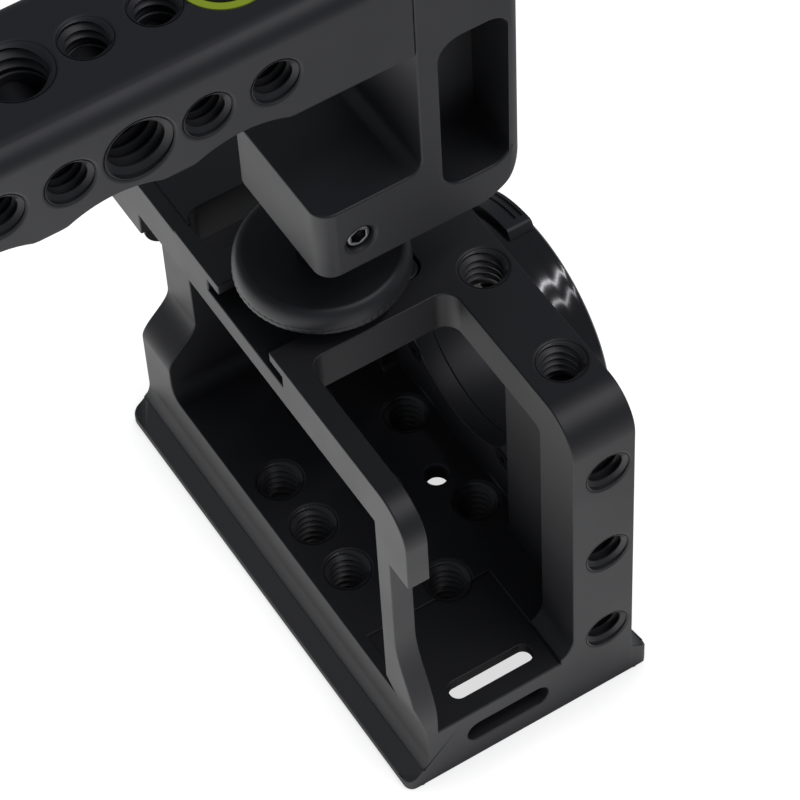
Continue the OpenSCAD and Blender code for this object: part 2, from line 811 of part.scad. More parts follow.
module level_bubble() {
    color("#eef5c8") level_place() translate([1.2, 0.8, level_h - 1.5])
        cylinder(r = 1.4, h = 0.5);
}

module level_lens() {
    color("#dfeea0") level_place() translate([0, 0, level_h - 1])
        cylinder(r = level_r - 1, h = 1);
}

cage_frame();
end_screw();
lens_flange();
flange_screws();
stop_pin();
wave_washer();
retaining_ring();
lock_ring();
shoe_plate();
clamp_stud();
clamp_disc();
handle_bracket();
set_screw();
grip_beam();
beam_bolts();
beam_pins();
level_vial();
level_fluid();
level_bubble();
level_lens();
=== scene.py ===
"""Looks of the camera cage: bevelled black metal, threads, knurl, level and a white studio."""

import json
import math

import bmesh
import bpy
from mathutils import Matrix, Vector
from mathutils.bvhtree import BVHTree


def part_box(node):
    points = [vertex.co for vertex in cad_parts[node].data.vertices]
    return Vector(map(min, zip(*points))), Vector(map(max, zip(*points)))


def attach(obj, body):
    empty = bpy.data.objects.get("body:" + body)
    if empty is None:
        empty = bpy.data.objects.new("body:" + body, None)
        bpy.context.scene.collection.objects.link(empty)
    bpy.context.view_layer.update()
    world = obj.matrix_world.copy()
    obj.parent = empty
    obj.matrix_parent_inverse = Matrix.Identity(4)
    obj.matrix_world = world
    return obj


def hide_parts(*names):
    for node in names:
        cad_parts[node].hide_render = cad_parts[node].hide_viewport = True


MM = 0.001
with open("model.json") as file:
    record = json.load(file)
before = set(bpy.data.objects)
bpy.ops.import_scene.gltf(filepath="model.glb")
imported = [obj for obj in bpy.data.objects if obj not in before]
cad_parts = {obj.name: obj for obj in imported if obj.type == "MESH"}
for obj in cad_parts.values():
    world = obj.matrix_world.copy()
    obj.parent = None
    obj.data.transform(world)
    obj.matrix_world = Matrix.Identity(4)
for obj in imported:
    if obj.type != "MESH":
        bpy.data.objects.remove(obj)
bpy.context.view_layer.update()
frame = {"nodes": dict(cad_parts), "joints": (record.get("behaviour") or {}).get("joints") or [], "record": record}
scene = bpy.context.scene


# ---------------------------------------------------------------- sizes from the frame

def mount(name):
    """Place and way out of one of the part's mounts."""
    found = next(m for m in frame["record"]["mounts"] if m["name"] == name)
    return Vector(found["pos_m"]), Vector(found["axis"]), found["dims"]


def joint_place(name):
    found = next(j for j in frame["joints"] if j["name"] == name)
    return Vector(found["pos_m"])


LENS_AT = joint_place("ring_turn")
STUD_AT = joint_place("disc_spin")
FORWARD = Vector((0, -1, 0))
UP = Vector((0, 0, 1))


# ---------------------------------------------------------------- camera

# The photograph's viewpoint, worked out from its parallel edges, for a 36 mm sensor.
CAMERA_AT = Vector((-0.27017, 0.14589, 0.44182))
CAMERA_RIGHT = Vector((-0.53025314, -0.84696268, -0.03854626))
CAMERA_UP = Vector((0.66673999, -0.44464337, 0.59812211))
CAMERA_BACK = Vector((-0.52372645, 0.2914558, 0.80047744))
LENS_MM = 171.56


def make_camera():
    data = bpy.data.cameras.new("camera")
    data.sensor_width = 36
    data.lens = LENS_MM
    data.clip_start = 0.01
    data.clip_end = 20
    camera = bpy.data.objects.new("camera", data)
    turn = Matrix((CAMERA_RIGHT, CAMERA_UP, CAMERA_BACK)).transposed()
    camera.matrix_world = Matrix.Translation(CAMERA_AT) @ turn.to_4x4()
    scene.collection.objects.link(camera)
    scene.camera = camera


# ---------------------------------------------------------------- materials

def new_material(name):
    material = bpy.data.materials.new(name)
    material.use_nodes = True
    return material, material.node_tree.nodes, material.node_tree.links


def coordinates(nodes, links, scale):
    """Object coordinates in millimetres, stretched by scale."""
    place = nodes.new("ShaderNodeTexCoord")
    mapping = nodes.new("ShaderNodeMapping")
    mapping.inputs["Scale"].default_value = [s / MM for s in scale]
    links.new(place.outputs["Object"], mapping.inputs["Vector"])
    return mapping.outputs["Vector"]


def noise(nodes, links, vector, scale, detail=3.0):
    texture = nodes.new("ShaderNodeTexNoise")
    texture.inputs["Scale"].default_value = scale
    texture.inputs["Detail"].default_value = detail
    links.new(vector, texture.inputs["Vector"])
    return texture.outputs["Fac"]


def spread(nodes, links, value, low, high):
    """Maps a noise value, which stays near a half, to low..high."""
    ramp = nodes.new("ShaderNodeMapRange")
    ramp.inputs["From Min"].default_value = 0.3
    ramp.inputs["From Max"].default_value = 0.7
    ramp.inputs["To Min"].default_value = low
    ramp.inputs["To Max"].default_value = high
    links.new(value, ramp.inputs["Value"])
    return ramp.outputs["Result"]


def mix_colour(nodes, links, fac, a, b):
    mix = nodes.new("ShaderNodeMix")
    mix.data_type = "RGBA"
    mix.inputs["A"].default_value = (*a, 1)
    mix.inputs["B"].default_value = (*b, 1)
    links.new(fac, mix.inputs["Factor"])
    return mix.outputs["Result"]


def add_bump(nodes, links, height, distance_mm):
    bump = nodes.new("ShaderNodeBump")
    bump.inputs["Distance"].default_value = distance_mm * MM
    bump.inputs["Strength"].default_value = 1.0
    links.new(height, bump.inputs["Height"])
    return bump.outputs["Normal"]


def metal(name, dark, light, rough, grain_mm=0.14, grain_depth=0.0015, stretch=(1, 1, 1),
          metallic=0.0):
    """Satin metal: its colour and gloss drift a little, and fine grain breaks the reflections."""
    material, nodes, links = new_material(name)
    bsdf = nodes["Principled BSDF"]
    vector = coordinates(nodes, links, (1, 1, 1))
    grain_vector = coordinates(nodes, links, stretch)
    drift = noise(nodes, links, vector, 0.09)
    grain = noise(nodes, links, grain_vector, 1 / grain_mm, 2.0)
    links.new(mix_colour(nodes, links, drift, dark, light), bsdf.inputs["Base Color"])
    links.new(spread(nodes, links, drift, rough - 0.03, rough + 0.03), bsdf.inputs["Roughness"])
    links.new(add_bump(nodes, links, grain, grain_depth), bsdf.inputs["Normal"])
    bsdf.inputs["Metallic"].default_value = metallic
    return material


def clear(name, colour, roughness):
    material, nodes, _ = new_material(name)
    bsdf = nodes["Principled BSDF"]
    bsdf.inputs["Base Color"].default_value = (*colour, 1)
    bsdf.inputs["Transmission Weight"].default_value = 1.0
    bsdf.inputs["Roughness"].default_value = roughness
    return material


ANODISED = metal("anodised", (0.0125, 0.0127, 0.0145), (0.0155, 0.0157, 0.0180), 0.5)
HANDLE = metal("handle_anodised", (0.0135, 0.0140, 0.0165), (0.0170, 0.0176, 0.0205), 0.5)
THREAD = metal("cut_thread", (0.024, 0.024, 0.026), (0.030, 0.030, 0.032), 0.42, 0.3, 0.0005)
GLOSS = metal("turned_gloss", (0.009, 0.009, 0.0105), (0.011, 0.011, 0.0125), 0.13, 0.3, 0.0001)
OXIDE = metal("black_oxide", (0.010, 0.010, 0.011), (0.016, 0.016, 0.017), 0.32, 0.2, 0.002)
STEEL = metal("bright_steel", (0.42, 0.42, 0.43), (0.52, 0.52, 0.53), 0.3, 0.2, 0.0012,
              (1, 1, 8), metallic=1.0)
# chrome of the set screw, its colour darkened as painted shade for the hole it sits in
SHADE_DARKENED_CHROME = metal("chrome_plate_darkened_as_shade", (0.24, 0.24, 0.25), (0.30, 0.30, 0.31), 0.22, 0.5, 0.0001,
               metallic=1.0)
LEVEL = metal("level_plastic", (0.36, 0.50, 0.02), (0.44, 0.58, 0.035), 0.22, 0.5, 0.001)
CLEAR = clear("clear_plastic", (0.86, 0.95, 0.45), 0.05)


# ---------------------------------------------------------------- mesh helpers

def put(name, mesh, material, body):
    obj = bpy.data.objects.new(name, mesh)
    scene.collection.objects.link(obj)
    mesh.materials.clear()
    mesh.materials.append(material)
    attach(obj, body)
    return obj


def smooth(mesh, angle=32):
    mesh.polygons.foreach_set("use_smooth", [True] * len(mesh.polygons))
    mesh.set_sharp_from_angle(angle=math.radians(angle))


EDGE_ANGLE = 28             # degrees from which an outer edge is broken
MOUTH_BREAK = 0.07          # mm, on the rims of the threaded holes
FLAT = 0.3                  # degrees between faces of one flat
FLAT_MM2 = 5                # area from which a flat outweighs its neighbours
SLIVER = 0.03 * MM          # a face lower than this takes its neighbours' shading


def patch_areas(bm):
    """Area in mm2 of the flat patch that each face lies in."""
    limit = math.cos(math.radians(FLAT))
    area = {}
    for first in bm.faces:
        if first in area:
            continue
        area[first] = 0
        patch = [first]
        for face in patch:
            for edge in face.edges:
                for other in edge.link_faces:
                    if other not in area and other.normal.dot(first.normal) > limit:
                        area[other] = 0
                        patch.append(other)
        total = sum(face.calc_area() for face in patch) / MM ** 2
        area.update((face, total) for face in patch)
    return area


def keep_flats_flat(mesh, angle=50):
    """Smooth shading whose corner normals follow the widest flat, so that flats stay flat."""
    bm = bmesh.new()
    bm.from_mesh(mesh)
    near = math.cos(math.radians(angle))
    weight = {face: area + (area / FLAT_MM2) ** 3 for face, area in patch_areas(bm).items()}
    normals = []
    for face in bm.faces:
        longest = max(edge.calc_length() for edge in face.edges)
        thin = 2 * face.calc_area() < SLIVER * longest
        for loop in face.loops:
            guide = face
            if thin:
                guide = max((corner.face for corner in loop.vert.link_loops), key=weight.get)
            total = Vector()
            for corner in loop.vert.link_loops:
                other = corner.face
                if other.normal.dot(guide.normal) > near:
                    total += other.normal * weight[other] * corner.calc_angle()
            normals.append(total.normalized() if total.length > 0 else guide.normal.copy())
    bm.free()
    mesh.polygons.foreach_set("use_smooth", [True] * len(mesh.polygons))
    mesh.normals_split_custom_set(normals)


def at_mouth(edge, mouths):
    """Whether an edge lies on the rim of one of the threaded holes."""
    for centre, axis, radius in mouths:
        near = True
        for vert in edge.verts:
            off = vert.co - centre
            depth = off.dot(axis)
            near = near and abs(depth) < 0.05 * MM
            near = near and abs((off - axis * depth).length - radius) < 0.12 * MM
        if near:
            return True
    return False


def broken_edges(source, width_mm, mouths, shape):
    """A copy of source's surface, reshaped by shape, its outer edges cut to a small round."""
    bm = bmesh.new()
    bm.from_mesh(source)
    bmesh.ops.remove_doubles(bm, verts=bm.verts, dist=0.001 * MM)
    if shape is not None:
        shape(bm)
    true_surface = BVHTree.FromBMesh(bm)
    limit = math.radians(EDGE_ANGLE)
    edges = [e for e in bm.edges if e.is_manifold and e.calc_face_angle_signed(0) > limit]
    rims = [e for e in edges if at_mouth(e, mouths)]
    others = [e for e in edges if e not in set(rims)]
    for chosen, width in ((rims, MOUTH_BREAK), (others, width_mm)):
        bmesh.ops.bevel(bm, geom=[e for e in chosen if e.is_valid], offset=width * MM,
                        offset_type="OFFSET", segments=2, profile=0.5, affect="EDGES",
                        clamp_overlap=False)
    # where two edges meet at a sharp angle the cut can run out into a spike: pull it back,
    # and put corners that the cut has lifted off a flat by a hair back onto it
    for vert in bm.verts:
        near, _, _, gap = true_surface.find_nearest(vert.co)
        if gap > 0.75 * width_mm * MM or gap < 0.1 * width_mm * MM:
            vert.co = near
    bmesh.ops.dissolve_degenerate(bm, dist=0.0005 * MM, edges=bm.edges)
    return bm


def bevelled(node, body, material, width_mm, mouths=(), shape=None):
    """The CAD node with its outer edges broken."""
    source = frame["nodes"][node].data
    bm = broken_edges(source, width_mm, mouths, shape)
    mesh = bpy.data.meshes.new(node + "_body")
    bm.to_mesh(mesh)
    bm.free()
    keep_flats_flat(mesh)
    obj = put(node + "_body", mesh, material, body)
    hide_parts(node)


def axis_turn(axis, along=None):
    """Rotation that takes +Z to axis, with its X towards along."""
    z = Vector(axis).normalized()
    x = Vector(along) if along else (Vector((1, 0, 0)) if abs(z.x) < 0.9 else Vector((0, 1, 0)))
    x = (x - z * x.dot(z)).normalized()
    return Matrix((x, z.cross(x), z)).transposed().to_4x4()


def mesh_of(name, bm):
    bmesh.ops.recalc_face_normals(bm, faces=bm.faces)
    mesh = bpy.data.meshes.new(name)
    bm.to_mesh(mesh)
    bm.free()
    return mesh


def revolve(bm, profile, place, segments):
    """Adds a closed profile of (radius, height) in metres turned about place's Z axis."""
    rings = []
    for i in range(segments):
        a = 2 * math.pi * i / segments
        rings.append([bm.verts.new(place @ Vector((r * math.cos(a), r * math.sin(a), z)))
                      for r, z in profile])
    join_rings(bm, rings)


def join_rings(bm, rings):
    """Joins closed rings of vertices, and the last one to the first."""
    count = len(rings[0])
    for i, a in enumerate(rings):
        b = rings[(i + 1) % len(rings)]
        for j in range(count):
            k = (j + 1) % count
            bm.faces.new((a[j], b[j], b[k], a[k]))


# ---------------------------------------------------------------- threads

QUARTER_R = 3.2             # mm, 1/4-20
QUARTER_PITCH = 1.27
THREE_EIGHTH_PITCH = 1.5875  # mm, 3/8-16
TURN_STEPS = 36
THREAD_EMBED = 0.06 * MM    # how far a thread's sleeve goes into the wall
THREAD_FADE = 0.55 * MM     # length over which a thread runs out at its mouth
THREAD_START = 0.12         # mm from the mouth to the sleeve


def thread_shape(root, crest):
    """One turn's profile as (share of the pitch, radius): flat crest, slope, flat root, slope."""
    return [(0.0, crest), (0.16, crest), (0.5, root), (0.66, root)]


def helix(bm, place, root, crest, pitch, length):
    """Adds a threaded surface along place's Z from 0 to length, and closes it to a sleeve."""
    shape = thread_shape(root, crest)
    turns = int(math.ceil(length / pitch)) + 2
    rows = []
    for i in range(turns * TURN_STEPS + 1):
        a = 2 * math.pi * i / TURN_STEPS
        row = []
        for share, radius in shape:
            z = pitch * (i / TURN_STEPS - 1 + share)
            held = min(max(z, 0), length)
            fade = min(held, length - held) / THREAD_FADE
            fade = min(max(fade, 0), 1)
            r = root + (radius - root) * fade
            row.append(bm.verts.new(place @ Vector((r * math.cos(a), r * math.sin(a), held))))
        rows.append(row)
    for i in range(len(rows) - 1):
        for j in range(len(shape) - 1):
            bm.faces.new((rows[i][j], rows[i + 1][j], rows[i + 1][j + 1], rows[i][j + 1]))
        if i + TURN_STEPS + 1 < len(rows):
            bm.faces.new((rows[i][-1], rows[i + 1][-1], rows[i + 1 + TURN_STEPS][0],
                          rows[i + TURN_STEPS][0]))
    wall = root + THREAD_EMBED
    loops = []
    for r, z in ((root, 0), (wall, 0), (wall, length), (root, length)):
        loops.append([bm.verts.new(place @ Vector((r * math.cos(2 * math.pi * i / TURN_STEPS),
                                                   r * math.sin(2 * math.pi * i / TURN_STEPS), z)))
                      for i in range(TURN_STEPS)])
    for a, b in zip(loops[:-1], loops[1:]):
        for i in range(TURN_STEPS):
            k = (i + 1) % TURN_STEPS
            bm.faces.new((a[i], a[k], b[k], b[i]))


def clean_threads(bm):
    bmesh.ops.remove_doubles(bm, verts=bm.verts, dist=0.002 * MM)
    bmesh.ops.dissolve_degenerate(bm, dist=0.002 * MM, edges=bm.edges)
    loose = [v for v in bm.verts if not v.link_faces]
    bmesh.ops.delete(bm, geom=loose, context="VERTS")


def threaded_hole(bm, mouth, axis, radius_mm, length_mm):
    """Threads in a hole that opens at mouth towards axis."""
    pitch = QUARTER_PITCH if radius_mm < 4 else THREE_EIGHTH_PITCH
    crest = radius_mm - 0.5 * pitch
    inward = -Vector(axis)
    place = Matrix.Translation(mouth + inward * THREAD_START * MM) @ axis_turn(inward)
    helix(bm, place, radius_mm * MM, crest * MM, pitch * MM, (length_mm - THREAD_START) * MM)


def pattern(name):
    """Places of the holes in one of the part's bolt patterns."""
    centre, axis, dims = mount(name)
    across = [Vector(v) for v in ((1, 0, 0), (0, 1, 0), (0, 0, 1))
              if abs(Vector(v).dot(axis)) < 0.5]
    sx = dims.get("spacing_x_mm", 0) * MM
    sy = dims.get("spacing_y_mm", 0) * MM
    if sx and sy:
        return [centre + across[0] * sx * i + across[1] * sy * j
                for i in (-0.5, 0.5) for j in (-0.5, 0.5)], axis, dims
    step = across[0] * sx + across[1] * sy
    middle = (dims["count"] - 1) / 2
    return [centre + step * (i - middle) for i in range(dims["count"])], axis, dims


def hole_mouths(names, singles=()):
    """Rims of the threaded holes of these mounts, at the mount's end of each hole."""
    rims = []
    for name in names:
        places, axis, dims = pattern(name)
        rims += [(p, axis, dims["hole_r_mm"] * MM) for p in places]
    for name in singles:
        place, axis, dims = mount(name)
        rims.append((place, axis, dims["r_mm"] * MM))
    return rims


BASE_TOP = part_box("cage_frame")[0].z + 11.4 * MM
FLOOR_DEPTH = 11.2          # mm, lengths of the holes' threads
END_DEPTH = 7.7
TOP_DEPTH = 6.9
GRIP_TOP_DEPTH = 4.2


def floor_holes():
    places = [p for name in ("base_corners", "base_line") for p in pattern(name)[0]]
    return places + [mount("base_rear_thread")[0]]


def make_cage_threads():
    bm = bmesh.new()
    for p in floor_holes():
        threaded_hole(bm, Vector((p.x, p.y, BASE_TOP)), UP, QUARTER_R, FLOOR_DEPTH)
    for name in ("top_inner", "top_outer"):
        for p in pattern(name)[0]:
            threaded_hole(bm, p, UP, QUARTER_R, TOP_DEPTH)
    for end in ("open_end", "closed_end"):
        middle, axis, _ = mount(end + "_middle")
        for p in pattern(end + "_pair")[0] + [middle]:
            threaded_hole(bm, p, axis, QUARTER_R, END_DEPTH)
    clean_threads(bm)
    mesh = mesh_of("cage_threads", bm)
    smooth(mesh, 50)
    put("cage_threads", mesh, THREAD, "cage")


def make_grip_threads():
    bm = bmesh.new()
    low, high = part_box("grip_beam")
    width = (high.x - low.x) / MM
    for name in ("grip_holes_front", "grip_holes_middle", "grip_holes_rear", "grip_holes_large"):
        places, axis, dims = pattern(name)
        for p in places:
            threaded_hole(bm, p, axis, dims["hole_r_mm"], width - 0.3)
    for name in ("grip_top_front", "grip_top_middle", "grip_top_large"):
        places, axis, dims = pattern(name)
        for p in places:
            threaded_hole(bm, p, axis, dims["hole_r_mm"], GRIP_TOP_DEPTH)
    last, axis, dims = mount("grip_top_rear")
    threaded_hole(bm, last, axis, dims["r_mm"], GRIP_TOP_DEPTH)
    clean_threads(bm)
    mesh = mesh_of("grip_threads", bm)
    smooth(mesh, 50)
    put("grip_threads", mesh, HANDLE, "handle")


# ---------------------------------------------------------------- cage

CAGE_HALF = -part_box("cage_frame")[0].x
FOOT_FRONT = -19.4 * MM
FOOT_REAR = 19.0 * MM
FOOT_TOP = 6 * MM                   # over all of the foot's rim
FOOT_CORNER = 2.7 * MM              # plan radius of the frame's foot corners
FRONT_CORNER = 0.5 * MM             # and the tighter ones that the part shows
REAR_CORNER = 1.3 * MM
STRAP_BAR = ((-36.1, -8.4, 0.06), (-34.8, 11.1, 3.9))   # mm
PLATE_REAR = 12 * MM                # the shoe plate behind this moves forward
PLATE_SHIFT = 7 * MM


def tighten_corners(bm):
    """Gives the foot's plan corners their tighter radius, keeping its flats in place."""
    for vert in bm.verts:
        if vert.co.z > FOOT_TOP:
            continue
        x_side = 1 if vert.co.x > 0 else -1
        front = vert.co.y < 0
        edge_x = x_side * CAGE_HALF
        edge_y = FOOT_FRONT if front else FOOT_REAR
        y_side = -1 if front else 1
        new = FRONT_CORNER if front else REAR_CORNER
        dx = (vert.co.x - (edge_x - x_side * FOOT_CORNER)) * x_side
        dy = (vert.co.y - (edge_y - y_side * FOOT_CORNER)) * y_side
        if dx <= 0 or dy <= 0:
            continue
        reach = math.hypot(dx, dy)
        ux, uy = dx / reach, dy / reach
        # distance from the old centre to the new outline, along the same direction
        shift = FOOT_CORNER - new
        along = shift * (ux + uy)
        arc = along + math.sqrt(max(along ** 2 - 2 * shift ** 2 + new ** 2, 0))
        flat = FOOT_CORNER / max(ux, uy)
        out = flat if min(ux, uy) * flat <= shift else arc
        vert.co.x += x_side * ux * reach * (out / FOOT_CORNER - 1)
        vert.co.y += y_side * uy * reach * (out / FOOT_CORNER - 1)


def make_strap_bar():
    """The solid end of the base, between the strap slot's way in and its way up."""
    bm = bmesh.new()
    low, high = (Vector(corner) * MM for corner in STRAP_BAR)
    bmesh.ops.create_cube(bm, size=1)
    for vert in bm.verts:
        vert.co = Vector([low[i] if vert.co[i] < 0 else high[i] for i in range(3)])
    top = [e for e in bm.edges if all(v.co.z > 3 * MM and v.co.x > -35 * MM for v in e.verts)]
    bmesh.ops.bevel(bm, geom=top, offset=0.15 * MM, segments=2, profile=0.5, affect="EDGES")
    mesh = mesh_of("strap_bar", bm)
    smooth(mesh, 30)
    put("strap_bar", mesh, ANODISED, "cage")


def shorten_plate(bm):
    """Moves the shoe plate's rear end forward, under the disc."""
    for vert in bm.verts:
        if vert.co.y > PLATE_REAR:
            vert.co.y -= PLATE_SHIFT


def make_cage():
    rims = hole_mouths(("top_inner", "top_outer", "open_end_pair", "closed_end_pair"),
                       ("open_end_middle", "closed_end_middle"))
    rims += [(Vector((p.x, p.y, BASE_TOP)), UP, QUARTER_R * MM) for p in floor_holes()]
    bevelled("cage_frame", "cage", ANODISED, 0.22, rims, tighten_corners)
    make_strap_bar()
    bevelled("shoe_plate", "carriage", ANODISED, 0.4, shape=shorten_plate)
    bevelled("end_screw", "cage", OXIDE, 0.15)
    bevelled("lens_flange", "cage", ANODISED, 0.12)
    bevelled("retaining_ring", "cage", GLOSS, 0.12)
    paint("flange_screws", OXIDE)
    paint("stop_pin", STEEL)
    paint("wave_washer", STEEL)


def paint(node, material):
    """Gives a CAD node that stays as it is its material."""
    obj = frame["nodes"][node]
    obj.data.materials.clear()
    obj.data.materials.append(material)
    smooth(obj.data)


# ---------------------------------------------------------------- lock ring

# Rise per mm of the ring's soft waves, at these places in mm from its back
WAVES = ((0.2, 0.03), (2.0, -0.05), (3.4, 0.05), (4.5, -0.035), (5.35, -0.025), (5.75, 0.06),
         (7.2, -0.095), (7.8, 0.06))
PAD_START = 39                      # degrees, from +X towards +Z
PAD_ANGLE = 50


def wavy_outline(outer):
    """Outline of the ring's polished band, its slope running smoothly through WAVES."""
    points = []
    r = outer + 0.1 * MM
    for (start, low), (end, high) in zip(WAVES[:-1], WAVES[1:]):
        steps = max(3, round((end - start) / 0.15))
        for i in range(steps):
            t = i / steps
            points.append((r, (start + (end - start) * t) * MM))
            blend = t * t * (3 - 2 * t)
            r += (low + (high - low) * blend) * (end - start) / steps * MM
    points.append((r, WAVES[-1][0] * MM))
    return points


def make_lock_ring():
    low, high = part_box("lock_ring")
    outer = (high.x - low.x) / 2
    pad_h = (high.z - low.z) / 2 - outer
    width = high.y - low.y
    inner = outer - 2.05 * MM
    lip = outer - 0.75 * MM
    place = Matrix.Translation((LENS_AT.x, high.y, LENS_AT.z)) @ axis_turn(FORWARD)
    bm = bmesh.new()
    profile = [(inner, 0), (outer - 0.2 * MM, 0)]
    profile += wavy_outline(outer)
    rim = profile[-1][0]
    profile += [(rim - 0.04 * MM, width - 0.32 * MM),
                (rim - 0.24 * MM, width - 0.1 * MM), (rim - 0.42 * MM, width),
                (lip + 0.08 * MM, width), (lip, width - 0.08 * MM), (lip, width - 1.7 * MM),
                (inner, width - 1.7 * MM)]
    revolve(bm, profile, place, 256)
    mesh = mesh_of("lock_ring_body", bm)
    smooth(mesh, 24)
    body = put("lock_ring_body", mesh, GLOSS, "ring")
    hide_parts("lock_ring")
    for i in range(2):
        mesh = pad_mesh(place, outer, pad_h, math.radians(PAD_START + 180 * i))
        put("ring_pad_%d" % i, mesh, ANODISED, "ring")


PAD_BACK = 4.1 * MM                 # pad's edges, from the ring's back
PAD_FRONT = 8.0 * MM
PAD_RAMP = 0.8 * MM                 # length of its sloping ends
GROOVES = (6.2 * MM, 7.2 * MM)
GROOVE_HALF = 0.24 * MM
GROOVE_DEPTH = 0.34 * MM
GROOVE_END = 2.0 * MM               # how far the grooves stop short of the ends
PAD_EDGE = 0.16 * MM


def fine_steps(start, end, stops, step, near):
    """Values from start to end, closer together round the stops."""
    values = {start, end}
    at = start
    while at < end:
        values.add(at)
        gap = min(abs(at - s) for s in stops)
        at += step / 4 if gap < near else step
    return sorted(values)


def pad_mesh(place, outer, height, start):
    """One grip pad: two blind grooves in its back, rounded edges and sloping ends."""
    arc = math.radians(PAD_ANGLE)
    length = arc * (outer + height)
    across = fine_steps(PAD_BACK, PAD_FRONT, (PAD_BACK, *GROOVES, PAD_FRONT), 0.24 * MM, 0.42 * MM)
    along = fine_steps(0, length, (0, GROOVE_END, length - GROOVE_END, length), 0.4 * MM, 0.9 * MM)
    bm = bmesh.new()
    tops = []
    bases = []
    for x in along:
        from_end = min(x, length - x)
        ramp = min(from_end / PAD_RAMP, 1)
        top_row = []
        base_row = []
        for y in across:
            edge = min(y - PAD_BACK, PAD_FRONT - y)
            h = height * ramp
            if edge < PAD_EDGE:
                h -= PAD_EDGE - math.sqrt(PAD_EDGE ** 2 - (PAD_EDGE - edge) ** 2)
            run = min(max((from_end - GROOVE_END) / (0.3 * MM), 0), 1)
            gap = min(abs(y - g) for g in GROOVES)
            if gap < GROOVE_HALF:
                h -= run * GROOVE_DEPTH * math.sqrt(1 - (gap / GROOVE_HALF) ** 2)
            a = start + arc * x / length
            for r, row in ((outer + h, top_row), (outer - 0.3 * MM, base_row)):
                row.append(bm.verts.new(place @ Vector((r * math.cos(a), r * math.sin(a), y))))
        tops.append(top_row)
        bases.append(base_row)
    rows, columns = len(along), len(across)
    for i in range(rows - 1):
        for j in range(columns - 1):
            bm.faces.new((tops[i][j], tops[i + 1][j], tops[i + 1][j + 1], tops[i][j + 1]))
            bm.faces.new((bases[i][j], bases[i][j + 1], bases[i + 1][j + 1], bases[i + 1][j]))
    for i in range(rows - 1):
        for j in (0, columns - 1):
            bm.faces.new((tops[i][j], bases[i][j], bases[i + 1][j], tops[i + 1][j]))
    for j in range(columns - 1):
        for i in (0, rows - 1):
            bm.faces.new((tops[i][j], tops[i][j + 1], bases[i][j + 1], bases[i][j]))
    mesh = mesh_of("ring_pad", bm)
    smooth(mesh, 40)
    return mesh


# ---------------------------------------------------------------- clamp

KNURL_TEETH = 72
KNURL_DEPTH = 0.06 * MM
KNURL_TOP = 1.0 * MM               # height of the knurled band at the disc's lower edge
DISC_DISH = 10.2 * MM               # radius where the dished top begins
DISH_DEPTH = 0.9 * MM
STUD_HOLE = 3.22 * MM


def disc_profile(low, top, outer):
    """Outline of the disc over its knurl: a wide soft shoulder and the dished top."""
    shoulder_z = low + KNURL_TOP + 0.12 * MM
    core = outer - 0.06 * MM
    points = [(core, shoulder_z)]
    rise = top - shoulder_z
    steps = 14
    for i in range(1, steps + 1):
        t = math.pi / 2 * i / steps
        points.append((DISC_DISH + (core - DISC_DISH) * math.cos(t),
                       shoulder_z + rise * math.sin(t)))
    points.append((DISC_DISH - 0.25 * MM, top - 0.03 * MM))
    for i in range(1, 11):
        r = DISC_DISH - 0.25 * MM - (DISC_DISH - 0.25 * MM - STUD_HOLE) * i / 10
        points.append((r, top - 0.03 * MM - DISH_DEPTH * (1 - (r / DISC_DISH) ** 2)))
    return points


def make_clamp():
    low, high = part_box("clamp_disc")
    outer = (high.x - low.x) / 2
    place = Matrix.Translation((STUD_AT.x, STUD_AT.y, 0))
    hub_r, bore_r = 7.2 * MM, STUD_HOLE
    under = low.z + 3 * MM
    top = under + 3.7 * MM
    bm = bmesh.new()
    profile = [(bore_r, low.z), (hub_r - 0.2 * MM, low.z), (hub_r, low.z + 0.2 * MM),
               (hub_r, under), (outer - 0.35 * MM, under), (outer - 0.2 * MM, under + 0.12 * MM)]
    profile += disc_profile(under, top, outer)
    revolve(bm, profile, place, 192)
    mesh = mesh_of("clamp_disc_body", bm)
    smooth(mesh, 30)
    body = put("clamp_disc_body", mesh, HANDLE, "disc")
    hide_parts("clamp_disc")
    bm = bmesh.new()
    add_knurl(bm, place, outer, under + 0.1 * MM, under + KNURL_TOP)
    mesh = mesh_of("disc_knurl", bm)
    smooth(mesh, 20)
    put("disc_knurl", mesh, HANDLE, "disc")
    paint("clamp_stud", OXIDE)


def add_knurl(bm, place, outer, low, high):
    """A ring of straight teeth, rounded off at its two ends."""
    fade = 0.18 * MM
    heights = [low, low + fade * 0.3, low + fade, high - fade, high - fade * 0.3, high]
    depths = [1.6, 0.5, 0, 0, 0.5, 1.6]
    steps = KNURL_TEETH * 4
    inner = outer - 0.6 * MM
    rings = []
    for i in range(steps):
        a = 2 * math.pi * i / steps
        tooth = (0, 0.5, 1, 0.5)[i % 4] * KNURL_DEPTH
        ring = [(inner, low)]
        ring += [(outer - tooth - d * 0.08 * MM, z) for d, z in zip(depths, heights)]
        ring.append((inner, high))
        rings.append([bm.verts.new(place @ Vector((r * math.cos(a), r * math.sin(a), z)))
                      for r, z in ring])
    join_rings(bm, rings)


# ---------------------------------------------------------------- handle

BRACKET_REACH = 0.8 * MM            # how far the bracket's nose stands out before its CAD face
REACH_START = -6 * MM               # Y where it begins, and the length over which it grows
REACH_RUN = 7.5 * MM
REACH_FOOT = 75 * MM                # Z where it begins, and the height over which it grows
REACH_RISE = 7 * MM


def reach_forward(bm):
    """Stretches the bracket's front end forward a little, but not its foot."""
    for vert in bm.verts:
        share = min(max((REACH_START - vert.co.y) / REACH_RUN, 0), 1)
        height = min(max((vert.co.z - REACH_FOOT) / REACH_RISE, 0), 1)
        vert.co.y -= BRACKET_REACH * share * height


